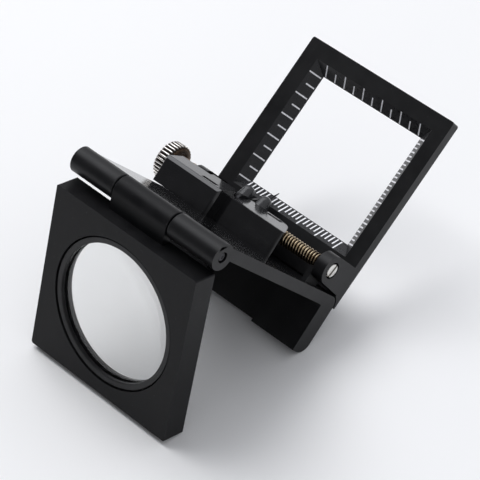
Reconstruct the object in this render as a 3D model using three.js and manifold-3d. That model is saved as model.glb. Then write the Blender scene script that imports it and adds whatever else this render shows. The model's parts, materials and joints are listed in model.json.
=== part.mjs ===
// Folding viewing loupe: a tri-fold magnifier with a measuring window, a screw-driven pointer
// carriage with two lamps, and a hinged lens frame.
//
// Millimetres, +Z up. The group stands as the real one is set down half open: on the tip of the
// arm's rear leg and on the lower edge of the lens frame. The origin is the middle of the
// bounding box's underside.
//
// Three local frames are used. X runs along every hinge axis in all of them.
//   arm frame:  +Z along the arm from its outer corner, +Y out of its inner face, which lies at
//               ARM_FACE_Y
//   base frame: origin at the middle of the window's near knife edge, +Y along the base plate,
//               +Z out of the face that carries the ears
//   lens frame: origin on the lens hinge, +Y from the hinge across the lens, +Z out of its back

import * as THREE from "three";
import { mergeVertices } from "three/addons/utils/BufferGeometryUtils.js";
import Module from "manifold-3d";

const wasm = await Module();
wasm.setup();

// ---------- driving dimensions ----------

const HALF_WIDTH = 19.15;          // base plate and arm, from the middle to each side
const GAP = 0.3;                   // running gap between neighbouring pieces
const FAR = 60;                    // reach of a cutting tool past the material

// base
const BASE_THICKNESS = 2.43;
const BASE_TONGUE_Y = -12.1;       // end of the tongue below the arm's corner
const BASE_END_Y = 31.6;
const BASE_CORNER_R = 0.5;
const WINDOW_WIDTH = 26.7;
const WINDOW_LENGTH = 25.7;
const WINDOW_X = 0.25;             // middle of the window
const BEVEL_WIDTH = 2.3;           // sloping scale face round the window
const KNIFE_LAND = 0.25;           // flat left at the knife edge
const BASE_HOLLOW_R = 2.65;        // hollow in the base's end, round the arm's rounded corner
const EAR_THICKNESS = 2.65;
const EAR_R_RIGHT = 3.05;
const EAR_R_LEFT = 2.95;

// lead screw: its axis is also the base's hinge
const SCREW_Y_IN_BASE = -6.05;
const SCREW_Z_IN_BASE = 9.39;
const SCREW_Y_IN_ARM = 4.07;
const SCREW_Z_IN_ARM = 8.1;
const SCREW_R = 1.5;
const SCREW_SHANK_R = 1.2;
const SCREW_CLEARANCE_R = 1.8;
const SHANK_CLEARANCE_R = 1.45;

// arm: an L, a plate with a leg at right angles to it
const ARM_OPEN_ANGLE = 94.04;      // between base plate and arm in the set-down pose, degrees
const ARM_FACE_Y = -0.4;           // inner face
const ARM_THICKNESS = 2.45;
const ARM_OUTER_Y = ARM_FACE_Y - ARM_THICKNESS;
const ARM_CORNER_R = 2.3;
const LEG_LENGTH = 13.44;
const LEG_THICKNESS = 4.6;
const LEG_TIP_R = 2.5;
const LEG_BLOCK_WIDTH = 11.5;      // full-depth block at each end of the leg
const LEG_RECESS = 1.6;
const LEG_SHORTENING = 0.4;
const HOOK_THICKNESS = 1.1;
const HOOK_OUTER_R = 2.9;
const HOOK_FRONT = 1.7;            // reach of a hook past the screw's middle, towards the lens

// lens hinge and lens frame
const HINGE_Y_IN_ARM = -2.77;
const HINGE_Z_IN_ARM = 45.8;
const BARREL_R = 2.75;
const PIN_R = 0.9;
const PIN_CLEARANCE_R = 1.15;
const KNUCKLE_LEFT_X = -7.75;      // middles of the two gaps beside the lens frame's knuckle
const KNUCKLE_RIGHT_X = 6.95;
const LENS_OPEN_ANGLE = 214.64;    // from over the base round to the set-down pose, degrees
const LENS_HALF_WIDTH = 18.8;
const LENS_PLATE_START = 3.55;     // hinge axis to the plate's nearest edge
const LENS_PLATE_LENGTH = 37.2;
const LENS_PLATE_BACK = -0.74;     // back face, seen from the hinge axis
const LENS_PLATE_FRONT = -5.75;
const LENS_CENTRE_X = 0.3;
const LENS_CENTRE_Y = 22.25;
const LENS_BORE_R = 15.6;
const LENS_LIP_R = 13.9;
const LENS_LIP_DEPTH = 0.8;
const LENS_R = 15.2;
const LENS_EDGE = 2.85;
const LENS_MIDDLE = 4.65;
const LENS_RING_INNER_R = 14.05;
const LENS_RING_END = -5.5;        // front of the ring that holds the lens, just inside the plate

// carriage, in the arm frame with its own x
const CARRIAGE_FLOOR_Y = -0.15;    // it slides just above the arm's inner face
const WING_LEFT_X = -22.1;
const STEP_X = -7.1;
const BLOCK_LEFT_X = -12.1;
const WING_FRONT_Z = 16.6;
const WING_REAR_Z = 11.4;
const CELL_BAY_LEFT_X = -14.4;     // the wing is deeper from here rightwards, for the cells
const CELL_BAY_REAR_Z = 10.2;
const BLOCK_FRONT_Z = 13.6;
const BLOCK_FRONT_RIGHT_X = 8.6;   // the block's right end slants back to its rear corner
const BLOCK_CORNER_X = 5.9;        // where the slanted end meets the rounded rear corner
const BLOCK_CORNER_Z = 8.8;
const BLOCK_ROOF_REAR_Z = 6.1;     // rear of the roofed part, above the shoulder
const BLOCK_REAR_Z = 4.7;          // rear of the block below the shoulder
const BLOCK_SHOULDER_Y = 4.9;
const LAMP_HOOD_Z = 2.7;
const LAMP_HOOD_Y = 6.0;
const LAMP_HOOD_RIGHT_X = -2.3;
const COVER_THICKNESS = 0.65;
const WALL = 0.6;
const SLOT_X = -7.0;               // middle of the slot that the pointer swings in
const SLOT_WIDTH = 1.2;
const LAMP_XS = [-9.15, -4.5];
const LAMP_R = 1.5;
const LAMP_TILT = 24;              // degrees, from +Y towards the base
const LAMP_OFFSET = 2.32;          // lamp axis to screw axis

// knob end
const KNOB_OUTER_X = -27.4;
const KNOB_WIDTH = 3.2;
const KNOB_R = 4.3;

// ---------- helpers ----------

const deg = THREE.MathUtils.degToRad;

/** A three.js geometry as a manifold solid. */
function solid(geometry) {
  const bare = geometry.clone();
  bare.deleteAttribute("normal");
  bare.deleteAttribute("uv");
  const merged = mergeVertices(bare, 1e-5);
  return new wasm.Manifold(new wasm.Mesh({
    numProp: 3,
    vertProperties: new Float32Array(merged.attributes.position.array),
    triVerts: new Uint32Array(merged.index.array),
  }));
}

/** A manifold solid as a three.js geometry. */
function geometryOf(shape) {
  const mesh = shape.getMesh();
  const geometry = new THREE.BufferGeometry();
  geometry.setAttribute("position", new THREE.BufferAttribute(mesh.vertProperties, 3));
  geometry.setIndex(new THREE.BufferAttribute(mesh.triVerts, 1));
  const flat = geometry.toNonIndexed();
  flat.computeVertexNormals();
  return flat;
}

/** A box from its lowest to its highest corner. */
function box(x0, y0, z0, x1, y1, z1) {
  const geometry = new THREE.BoxGeometry(x1 - x0, y1 - y0, z1 - z0);
  geometry.translate((x0 + x1) / 2, (y0 + y1) / 2, (z0 + z1) / 2);
  return solid(geometry);
}

/** A profile drawn in Y and Z, extruded along X from x0 to x1. */
function alongX(shape, x0, x1, curveSegments = 10) {
  const geometry = new THREE.ExtrudeGeometry(shape, { depth: x1 - x0, bevelEnabled: false, curveSegments });
  geometry.applyMatrix4(new THREE.Matrix4().set(0, 0, 1, x0, 1, 0, 0, 0, 0, 1, 0, 0, 0, 0, 0, 1));
  return solid(geometry);
}

/** A plan drawn in X and Z, extruded along Y from y0 to y1. */
function alongY(shape, y0, y1, curveSegments = 8) {
  const geometry = new THREE.ExtrudeGeometry(shape, { depth: y1 - y0, bevelEnabled: false, curveSegments });
  geometry.applyMatrix4(new THREE.Matrix4().set(1, 0, 0, 0, 0, 0, -1, y1, 0, 1, 0, 0, 0, 0, 0, 1));
  return solid(geometry);
}

/** A solid of revolution about X at (y, z), from [x, radius] points that start and end on the axis. */
function turnedAboutX(points, y, z, segments = 28) {
  const profile = points.map(([x, radius]) => new THREE.Vector2(radius, x));
  const geometry = new THREE.LatheGeometry(profile, segments);
  geometry.rotateZ(-Math.PI / 2);
  geometry.translate(0, y, z);
  return solid(geometry);
}

/** A cylinder about X. */
function rod(x0, x1, radius, y, z, segments = 28) {
  return turnedAboutX([[x0, 0], [x0, radius], [x1, radius], [x1, 0]], y, z, segments);
}

/** A ring about X. */
function sleeve(x0, x1, outer, inner, y, z, segments = 28) {
  return rod(x0, x1, outer, y, z, segments).subtract(rod(x0 - 1, x1 + 1, inner, y, z, segments));
}

/** A closed outline through plain [a, b] points. */
function outline(points) {
  return new THREE.Shape(points.map(([a, b]) => new THREE.Vector2(a, b)));
}

/** A rectangle with one radius for each corner, anticlockwise from its low-low corner. */
function roundedRectangle(a0, b0, a1, b1, [r0, r1, r2, r3]) {
  const shape = new THREE.Shape();
  shape.moveTo(a0 + r0, b0);
  shape.lineTo(a1 - r1, b0);
  if (r1 > 0) shape.absarc(a1 - r1, b0 + r1, r1, -Math.PI / 2, 0, false);
  shape.lineTo(a1, b1 - r2);
  if (r2 > 0) shape.absarc(a1 - r2, b1 - r2, r2, 0, Math.PI / 2, false);
  shape.lineTo(a0 + r3, b1);
  if (r3 > 0) shape.absarc(a0 + r3, b1 - r3, r3, Math.PI / 2, Math.PI, false);
  shape.lineTo(a0, b0 + r0);
  if (r0 > 0) shape.absarc(a0 + r0, b0 + r0, r0, Math.PI, Math.PI * 1.5, false);
  return shape;
}

/** A finish shared by the pieces made of one material. */
function finish(color, roughness, metalness, extra = {}) {
  return { color, roughness, metalness, ...extra };
}

const BLACK_METAL = finish(0x17171a, 0.45, 0.3);
const BLACK_PLASTIC = finish(0x101012, 0.2, 0.0);
const BRASS = finish(0xb08d4a, 0.3, 1.0);
const NICKEL = finish(0xc9c7c2, 0.25, 1.0);
const GLASS = finish(0xe8f0ee, 0.03, 0.0, { transparent: true, opacity: 0.35 });
const CLEAR_EPOXY = finish(0xd8d8d6, 0.08, 0.0, { transparent: true, opacity: 0.6 });
const BOARD = finish(0x1f4a2c, 0.5, 0.0);

/** A named mesh, with its own material. */
function piece(name, shape, look) {
  const mesh = new THREE.Mesh(geometryOf(shape), new THREE.MeshStandardMaterial(look));
  mesh.name = name;
  return mesh;
}

// ---------- base ----------

/** Centre of the arm's rounded outer corner, seen in the base frame. */
function armCornerInBase() {
  const angle = deg(ARM_OPEN_ANGLE - 90);
  const dy = ARM_FACE_Y - ARM_CORNER_R - SCREW_Y_IN_ARM;
  const dz = ARM_CORNER_R - SCREW_Z_IN_ARM;
  return [
    SCREW_Y_IN_BASE + dy * Math.cos(angle) - dz * Math.sin(angle),
    SCREW_Z_IN_BASE + dy * Math.sin(angle) + dz * Math.cos(angle),
  ];
}

/** An upright ear with a round top, centred on the lead screw. */
function ear(x0, x1, radius, boreR) {
  const backY = armCornerInBase()[0] + BASE_HOLLOW_R + 0.05;
  const frontY = SCREW_Y_IN_BASE + radius;
  const topBack = Math.acos(Math.max(-1, (backY - SCREW_Y_IN_BASE) / radius));
  const shape = new THREE.Shape();
  shape.moveTo(backY, 0.5);
  shape.lineTo(frontY, 0.5);
  shape.lineTo(frontY, SCREW_Z_IN_BASE);
  shape.absarc(SCREW_Y_IN_BASE, SCREW_Z_IN_BASE, radius, 0, topBack, false);
  return alongX(shape, x0, x1, 14)
    .subtract(rod(x0 - 1, x1 + 1, boreR, SCREW_Y_IN_BASE, SCREW_Z_IN_BASE));
}

/** The window's opening: a knife edge below, opening out along the four bevels. */
function windowCutter() {
  const x0 = WINDOW_X - WINDOW_WIDTH / 2;
  const opening = outline([
    [x0, 0],
    [x0 + WINDOW_WIDTH, 0],
    [x0 + WINDOW_WIDTH, WINDOW_LENGTH],
    [x0, WINDOW_LENGTH],
  ]);
  const flare = new THREE.ExtrudeGeometry(opening, {
    depth: 5,
    bevelEnabled: true,
    bevelThickness: BASE_THICKNESS - KNIFE_LAND,
    bevelSize: BEVEL_WIDTH,
    bevelSegments: 1,
  });
  flare.translate(0, 0, BASE_THICKNESS);
  const straight = box(x0, 0, -1, x0 + WINDOW_WIDTH, WINDOW_LENGTH, KNIFE_LAND + 0.2);
  return solid(flare).add(straight);
}

function makeBase() {
  const group = new THREE.Group();
  const corners = [0, 0, BASE_CORNER_R, BASE_CORNER_R];
  const plan = new THREE.ExtrudeGeometry(
    roundedRectangle(-HALF_WIDTH, BASE_TONGUE_Y, HALF_WIDTH, BASE_END_Y, corners),
    { depth: BASE_THICKNESS, bevelEnabled: false, curveSegments: 6 },
  );
  const [cornerY, cornerZ] = armCornerInBase();
  const cornerHollow = rod(-FAR, FAR, BASE_HOLLOW_R, cornerY, cornerZ, 64);
  const innerX = HALF_WIDTH - EAR_THICKNESS;
  const shape = solid(plan)
    .subtract(windowCutter())
    .add(ear(-HALF_WIDTH, -innerX, EAR_R_LEFT, SHANK_CLEARANCE_R))
    .add(ear(innerX, HALF_WIDTH, EAR_R_RIGHT, SCREW_CLEARANCE_R))
    .subtract(cornerHollow);
  group.add(piece("base_frame", shape, BLACK_METAL));
  return group;
}

// ---------- lead screw, knob and their fastenings, in the base frame ----------

function makeScrewSet() {
  const group = new THREE.Group();
  const y = SCREW_Y_IN_BASE;
  const z = SCREW_Z_IN_BASE;
  const earInner = HALF_WIDTH - EAR_THICKNESS;
  const screwLeft = KNOB_OUTER_X + 1.2;
  const screwRight = HALF_WIDTH - 1.5;
  const knobInner = KNOB_OUTER_X + KNOB_WIDTH;
  const tapR = 0.9;
  const tapDepth = 5;

  const screw = turnedAboutX([
    [screwLeft, 0],
    [screwLeft, SCREW_SHANK_R],
    [-earInner + GAP, SCREW_SHANK_R],
    [-earInner + GAP, SCREW_R],
    [screwRight, SCREW_R],
    [screwRight, 0],
  ], y, z)
    .subtract(rod(screwRight - tapDepth, FAR, tapR, y, z, 16))
    .subtract(rod(-FAR, screwLeft + tapDepth, tapR, y, z, 16));
  group.add(piece("lead_screw", screw, BRASS));

  const headLeft = screwRight + GAP;
  const headRight = HALF_WIDTH + 0.1;
  const endScrew = turnedAboutX([
    [screwRight - tapDepth + GAP, 0],
    [screwRight - tapDepth + GAP, 0.6],
    [headLeft, 0.6],
    [headLeft, SCREW_R],
    [headRight - 0.25, SCREW_R],
    [headRight, SCREW_R - 0.25],
    [headRight, 0],
  ], y, z).subtract(box(headRight - 0.5, y - FAR, z - 0.25, FAR, y + FAR, z + 0.25));
  group.add(piece("end_screw", endScrew, NICKEL));

  const knob = turnedAboutX([
    [KNOB_OUTER_X, 0],
    [KNOB_OUTER_X, KNOB_R - 0.35],
    [KNOB_OUTER_X + 0.35, KNOB_R],
    [knobInner - 0.35, KNOB_R],
    [knobInner, KNOB_R - 0.35],
    [knobInner, 0],
  ], y, z, 36)
    .subtract(rod(-FAR, FAR, SHANK_CLEARANCE_R, y, z))
    .subtract(rod(-FAR, KNOB_OUTER_X + 1.0, 2.2, y, z));
  group.add(piece("thumb_knob", knob, NICKEL));

  const knobScrew = turnedAboutX([
    [KNOB_OUTER_X + 0.1, 0],
    [KNOB_OUTER_X + 0.1, 1.9],
    [KNOB_OUTER_X + 0.8, 1.9],
    [KNOB_OUTER_X + 0.8, 0.6],
    [screwLeft + tapDepth - GAP, 0.6],
    [screwLeft + tapDepth - GAP, 0],
  ], y, z).subtract(box(-FAR, y - FAR, z - 0.25, KNOB_OUTER_X + 0.45, y + FAR, z + 0.25));
  group.add(piece("knob_screw", knobScrew, NICKEL));

  const washerLeft = -HALF_WIDTH - GAP - 0.45;
  group.add(piece("knob_collar", sleeve(knobInner + GAP, washerLeft - GAP, 2.4, SHANK_CLEARANCE_R, y, z), NICKEL));
  group.add(piece("wave_washer", sleeve(washerLeft, washerLeft + 0.45, 2.6, SHANK_CLEARANCE_R, y, z), NICKEL));
  return group;
}

// ---------- pointer, in the base frame ----------

function makePointer() {
  const group = new THREE.Group();
  const y = SCREW_Y_IN_BASE;
  const z = SCREW_Z_IN_BASE;
  const plateLeft = SLOT_X - 0.3;
  const plateRight = SLOT_X + 0.3;
  const footZ = BASE_THICKNESS + GAP;
  const root = [-2.1, 3.45];       // where the needle leaves the plate
  const tip = [0.9, 0.95];
  const needleX = -5.75;

  const blade = alongX(outline([
    [y - 1.6, footZ],
    [root[0] - 0.2, footZ],
    [root[0] + 0.35, root[1] - 0.3],
    [root[0], root[1] + 0.35],
    [y + 2.2, z - 1.6],
    [y, z],
    [y - 1.6, z - 1.6],
  ]), plateLeft, plateRight);
  const ring = rod(plateLeft, plateRight, 2.7, y, z);
  const crank = alongX(outline([
    [root[0] - 0.35, root[1] - 0.28],
    [root[0] + 0.15, root[1] - 0.5],
    [root[0] + 0.4, root[1] - 0.1],
    [root[0] - 0.05, root[1] + 0.25],
  ]), plateLeft, needleX + 0.3);
  const length = Math.hypot(tip[0] - root[0], tip[1] - root[1]);
  const needleCone = new THREE.CylinderGeometry(0.1, 0.38, length, 12);
  needleCone.translate(0, length / 2, 0);
  needleCone.rotateX(Math.atan2(tip[1] - root[1], tip[0] - root[0]));
  needleCone.translate(needleX, root[0], root[1]);
  const shape = blade.add(ring).add(crank).add(solid(needleCone))
    .subtract(rod(plateLeft - 1, plateRight + 1, SCREW_CLEARANCE_R, y, z));
  group.add(piece("pointer", shape, NICKEL));
  return group;
}

// ---------- arm ----------

function armProfile() {
  const shape = new THREE.Shape();
  const face = ARM_FACE_Y;
  const back = ARM_OUTER_Y;
  const tipY = -LEG_LENGTH;
  shape.moveTo(face, ARM_CORNER_R);
  shape.lineTo(face, HINGE_Z_IN_ARM);
  shape.lineTo(back, HINGE_Z_IN_ARM);
  shape.lineTo(back, LEG_THICKNESS + 0.5);
  shape.absarc(back - 0.5, LEG_THICKNESS + 0.5, 0.5, 0, -Math.PI / 2, true);
  shape.lineTo(tipY, LEG_THICKNESS);
  shape.lineTo(tipY, LEG_TIP_R);
  shape.absarc(tipY + LEG_TIP_R, LEG_TIP_R, LEG_TIP_R, Math.PI, Math.PI * 1.5, false);
  shape.lineTo(face - ARM_CORNER_R, 0);
  shape.absarc(face - ARM_CORNER_R, ARM_CORNER_R, ARM_CORNER_R, -Math.PI / 2, 0, false);
  return shape;
}

/** An open hook that cradles the lead screw from below and behind. */
function hook(x0, x1) {
  const y = SCREW_Y_IN_ARM;
  const z = SCREW_Z_IN_ARM;
  const stem = box(x0, ARM_FACE_Y - 0.5, z - HOOK_OUTER_R, x1, y, z + HOOK_OUTER_R);
  const cup = rod(x0, x1, HOOK_OUTER_R, y, z);
  const bore = rod(x0 - 1, x1 + 1, SCREW_CLEARANCE_R, y, z);
  const mouth = box(x0 - 1, y - 1.2, z, x1 + 1, y + FAR, z + FAR);
  const front = box(x0 - 1, -FAR, z + HOOK_FRONT, x1 + 1, FAR, FAR);
  return stem.add(cup).subtract(bore).subtract(mouth).subtract(front);
}

function makeArm() {
  const group = new THREE.Group();
  const body = alongX(armProfile(), -HALF_WIDTH, HALF_WIDTH);
  const barrel = rod(-HALF_WIDTH, HALF_WIDTH, BARREL_R, HINGE_Y_IN_ARM, HINGE_Z_IN_ARM, 40);
  const knuckleGap = box(
    KNUCKLE_LEFT_X - GAP / 2, -FAR, HINGE_Z_IN_ARM - BARREL_R - GAP,
    KNUCKLE_RIGHT_X + GAP / 2, FAR, FAR * 2,
  );
  const aboveBarrel = box(-FAR, -FAR, HINGE_Z_IN_ARM, FAR, FAR, FAR * 2).subtract(barrel);
  const pinHole = rod(-FAR, FAR, PIN_CLEARANCE_R, HINGE_Y_IN_ARM, HINGE_Z_IN_ARM, 24);
  const blockInner = HALF_WIDTH - LEG_BLOCK_WIDTH;
  const recess = box(
    -blockInner, -FAR, LEG_THICKNESS - LEG_RECESS,
    blockInner, ARM_OUTER_Y - 0.4, LEG_THICKNESS + 1,
  );
  const shortening = box(-blockInner, -FAR, -1, blockInner, -LEG_LENGTH + LEG_SHORTENING, LEG_THICKNESS + 1);
  const hookOuter = HALF_WIDTH - EAR_THICKNESS - GAP;
  const shape = body.add(barrel)
    .subtract(aboveBarrel)
    .subtract(knuckleGap)
    .subtract(pinHole)
    .subtract(recess)
    .subtract(shortening)
    .add(hook(-hookOuter, -hookOuter + HOOK_THICKNESS))
    .add(hook(hookOuter - HOOK_THICKNESS, hookOuter));
  group.add(piece("arm", shape, BLACK_METAL));
  const pin = rod(-HALF_WIDTH + 0.15, HALF_WIDTH - 0.15, PIN_R, HINGE_Y_IN_ARM, HINGE_Z_IN_ARM, 20);
  group.add(piece("lens_hinge_pin", pin, NICKEL));
  return group;
}

// ---------- lens frame ----------

/** A solid of revolution about the lens's axis, from [radius, height] points. */
function turnedAboutLens(points, segments) {
  const geometry = new THREE.LatheGeometry(points.map(([r, h]) => new THREE.Vector2(r, h)), segments);
  geometry.rotateX(Math.PI / 2);
  geometry.translate(LENS_CENTRE_X, LENS_CENTRE_Y, 0);
  return solid(geometry);
}

/** Points of a shallow dome of the lens surface, from the edge to the axis or back. */
function domePoints(edgeZ, sagitta, fromEdge) {
  const steps = 6;
  const radius = (LENS_R ** 2 + sagitta ** 2) / (2 * Math.abs(sagitta));
  const points = [];
  for (let i = 0; i <= steps; i++) {
    const r = LENS_R * (fromEdge ? 1 - i / steps : i / steps);
    const rise = Math.sqrt(radius ** 2 - r ** 2) - Math.sqrt(radius ** 2 - LENS_R ** 2);
    points.push([r, edgeZ + Math.sign(sagitta) * rise]);
  }
  return points;
}

function makeLensFrame() {
  const group = new THREE.Group();
  const plan = roundedRectangle(
    -LENS_HALF_WIDTH, LENS_PLATE_START,
    LENS_HALF_WIDTH, LENS_PLATE_START + LENS_PLATE_LENGTH,
    [0.4, 0.4, 0.5, 0.5],
  );
  const slab = new THREE.ExtrudeGeometry(plan, {
    depth: LENS_PLATE_BACK - LENS_PLATE_FRONT,
    bevelEnabled: false,
    curveSegments: 4,
  });
  slab.translate(0, 0, LENS_PLATE_FRONT);
  const knuckleLeft = KNUCKLE_LEFT_X + GAP / 2;
  const knuckleRight = KNUCKLE_RIGHT_X - GAP / 2;
  const knuckle = rod(knuckleLeft, knuckleRight, BARREL_R, 0, 0, 40);
  const web = alongX(outline([
    [0, -BARREL_R],
    [LENS_PLATE_START + 1, -BARREL_R - 0.1],
    [LENS_PLATE_START + 1, LENS_PLATE_BACK - 0.1],
    [0, LENS_PLATE_BACK - 0.1],
  ]), knuckleLeft, knuckleRight);
  const lipTop = LENS_PLATE_BACK - LENS_LIP_DEPTH;
  const bore = turnedAboutLens([
    [0, LENS_PLATE_FRONT - 1],
    [LENS_BORE_R, LENS_PLATE_FRONT - 1],
    [LENS_BORE_R, lipTop],
    [LENS_LIP_R, lipTop],
    [LENS_LIP_R, 1],
    [0, 1],
  ], 64);
  const pinHole = rod(-FAR, FAR, PIN_CLEARANCE_R, 0, 0, 24);
  const shape = solid(slab).add(knuckle).add(web).subtract(bore).subtract(pinHole);
  group.add(piece("lens_frame", shape, BLACK_METAL));

  const edgeBack = lipTop - 0.15;
  const edgeFront = edgeBack - LENS_EDGE;
  const sagitta = (LENS_MIDDLE - LENS_EDGE) / 2;
  const backDome = Math.min(sagitta, LENS_PLATE_BACK - 0.15 - edgeBack);
  const frontDome = LENS_MIDDLE - LENS_EDGE - backDome;
  const lens = turnedAboutLens([
    ...domePoints(edgeFront, -frontDome, false),
    ...domePoints(edgeBack, backDome, true),
  ], 48);
  group.add(piece("lens", lens, GLASS));

  const ringBack = edgeFront - 0.15;
  const ring = turnedAboutLens([
    [LENS_R + 0.1, ringBack],
    [LENS_RING_INNER_R, ringBack],
    [LENS_RING_INNER_R, LENS_RING_END],
    [LENS_R + 0.1, LENS_RING_END],
    [LENS_R + 0.1, ringBack],
  ], 64);
  group.add(piece("lens_retaining_ring", ring, BLACK_METAL));
  return group;
}

// ---------- carriage ----------

/** Height of the wing's sloping roof. */
const wingRoof = (z) => 5.4 + (WING_FRONT_Z - z) * 0.225;

/** Height of the block's sloping roof. */
const blockRoof = (z) => 5.3 + (BLOCK_FRONT_Z - z) * 0.165;

/** A point at distance s along a lamp's axis and r across it, in the arm frame. */
function lampPoint(s, r = 0) {
  const tilt = deg(LAMP_TILT);
  return [
    SCREW_Y_IN_ARM + s * Math.cos(tilt) - (LAMP_OFFSET - r) * Math.sin(tilt),
    SCREW_Z_IN_ARM - s * Math.sin(tilt) - (LAMP_OFFSET - r) * Math.cos(tilt),
  ];
}

/** A solid of revolution about a lamp's axis, from [s, radius] points. */
function turnedAboutLamp(points, x) {
  const geometry = new THREE.LatheGeometry(points.map(([s, r]) => new THREE.Vector2(r, s)), 24);
  geometry.rotateX(-deg(LAMP_TILT));
  const [y, z] = lampPoint(0);
  geometry.translate(x, y, z);
  return solid(geometry);
}

/** The block's plan, from a rear face at rearZ to its front, with the slanted right end. */
function blockPlan(rearZ) {
  const shape = new THREE.Shape();
  shape.moveTo(BLOCK_LEFT_X, rearZ);
  shape.lineTo(BLOCK_CORNER_X - 4.2, rearZ);
  shape.quadraticCurveTo(BLOCK_CORNER_X - 1.5, rearZ, BLOCK_CORNER_X, BLOCK_CORNER_Z);
  shape.lineTo(BLOCK_FRONT_RIGHT_X - 0.35, BLOCK_FRONT_Z - 0.9);
  shape.quadraticCurveTo(BLOCK_FRONT_RIGHT_X + 0.15, BLOCK_FRONT_Z, BLOCK_FRONT_RIGHT_X - 1.4, BLOCK_FRONT_Z);
  shape.lineTo(BLOCK_LEFT_X, BLOCK_FRONT_Z);
  return shape;
}

/** The wing and the block behind it, before anything is cut from them. */
function carriageEnvelope() {
  const floor = CARRIAGE_FLOOR_Y;
  const wingFrom = (rearZ, x0) => alongX(outline([
    [floor, rearZ],
    [wingRoof(rearZ), rearZ],
    [wingRoof(WING_FRONT_Z - 0.5), WING_FRONT_Z - 0.5],
    [4.8, WING_FRONT_Z],
    [floor, WING_FRONT_Z],
  ]), x0, STEP_X);
  const wing = wingFrom(WING_REAR_Z, WING_LEFT_X).add(wingFrom(CELL_BAY_REAR_Z, CELL_BAY_LEFT_X));
  const wingPlan = alongY(
    roundedRectangle(WING_LEFT_X, CELL_BAY_REAR_Z - 1, STEP_X, WING_FRONT_Z, [0, 0, 0.8, 0.3]),
    -1, 12,
  );
  const underRoof = alongX(outline([
    [floor, BLOCK_REAR_Z],
    [blockRoof(BLOCK_REAR_Z), BLOCK_REAR_Z],
    [blockRoof(BLOCK_FRONT_Z - 0.3), BLOCK_FRONT_Z - 0.3],
    [5.2, BLOCK_FRONT_Z],
    [floor, BLOCK_FRONT_Z],
  ]), BLOCK_LEFT_X, BLOCK_FRONT_RIGHT_X);
  const foot = alongY(blockPlan(BLOCK_REAR_Z), floor, BLOCK_SHOULDER_Y);
  const upper = alongY(blockPlan(BLOCK_ROOF_REAR_Z), BLOCK_SHOULDER_Y - 0.5, 12);
  const lampHood = alongY(
    roundedRectangle(BLOCK_LEFT_X, LAMP_HOOD_Z, LAMP_HOOD_RIGHT_X, BLOCK_ROOF_REAR_Z + 1, [0.8, 0.8, 0, 0]),
    floor, LAMP_HOOD_Y,
  );
  return wing.intersect(wingPlan).add(foot.add(upper).intersect(underRoof)).add(lampHood);
}

/** The cavity in the wing for the cells, board and switch, open to the front. */
function wingCavity(frontZ) {
  const part = (rearZ, x0, x1) => alongX(outline([
    [0.6, rearZ],
    [wingRoof(rearZ) - 0.5, rearZ],
    [wingRoof(frontZ) - 0.5, frontZ],
    [0.6, frontZ],
  ]), x0, x1);
  const bayRight = SLOT_X - SLOT_WIDTH / 2 - 0.33;
  return part(WING_REAR_Z + WALL, WING_LEFT_X + WALL, bayRight)
    .add(part(CELL_BAY_REAR_Z + WALL, CELL_BAY_LEFT_X + 0.5, bayRight));
}

function makeCarriage() {
  const group = new THREE.Group();
  const y = SCREW_Y_IN_ARM;
  const z = SCREW_Z_IN_ARM;
  const coverZ = WING_FRONT_Z - COVER_THICKNESS;
  const envelope = carriageEnvelope();

  const tunnel = rod(-FAR, FAR, SCREW_CLEARANCE_R, y, z);
  const pointerSlot = box(
    SLOT_X - SLOT_WIDTH / 2, y - 3.2, -FAR,
    SLOT_X + SLOT_WIDTH / 2, FAR, z + 3.2,
  );
  const nutPocket = box(-1.8, -1, z - 2.2, 3.0, y + 0.05, z + 2.2);
  const switchSlot = box(-FAR, 2.1, 12.6, WING_LEFT_X + WALL + 0.5, 3.9, 15.4);
  let housing = envelope
    .subtract(box(-FAR, -FAR, coverZ, STEP_X + 0.01, FAR, FAR))
    .subtract(wingCavity(coverZ + 1))
    .subtract(tunnel)
    .subtract(pointerSlot)
    .subtract(nutPocket)
    .subtract(switchSlot);
  for (const x of LAMP_XS) {
    housing = housing.subtract(turnedAboutLamp([[2.0, 0], [2.0, LAMP_R + 0.2], [12, LAMP_R + 0.2], [12, 0]], x));
  }
  group.add(piece("carriage_housing", housing, BLACK_PLASTIC));

  const coverBand = box(-FAR, -FAR, coverZ + 0.15, STEP_X - 0.01, FAR, FAR);
  group.add(piece("carriage_cover", envelope.intersect(coverBand), BLACK_PLASTIC));

  const nut = box(-1.6, 0.7, z - 2.0, 2.8, y - 0.15, z + 2.0)
    .subtract(rod(-FAR, FAR, SCREW_CLEARANCE_R, y, z));
  group.add(piece("half_nut", nut, BRASS));

  LAMP_XS.forEach((x, i) => {
    const dome = [];
    for (let k = 0; k <= 6; k++) {
      const angle = (k / 6) * Math.PI / 2;
      dome.push([4.6 + LAMP_R * Math.sin(angle), LAMP_R * Math.cos(angle)]);
    }
    dome[6][1] = 0;
    const lamp = turnedAboutLamp([[2.25, 0], [2.25, LAMP_R], ...dome], x);
    group.add(piece(["lamp_left", "lamp_right"][i], lamp, CLEAR_EPOXY));
  });
  return group;
}

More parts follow.
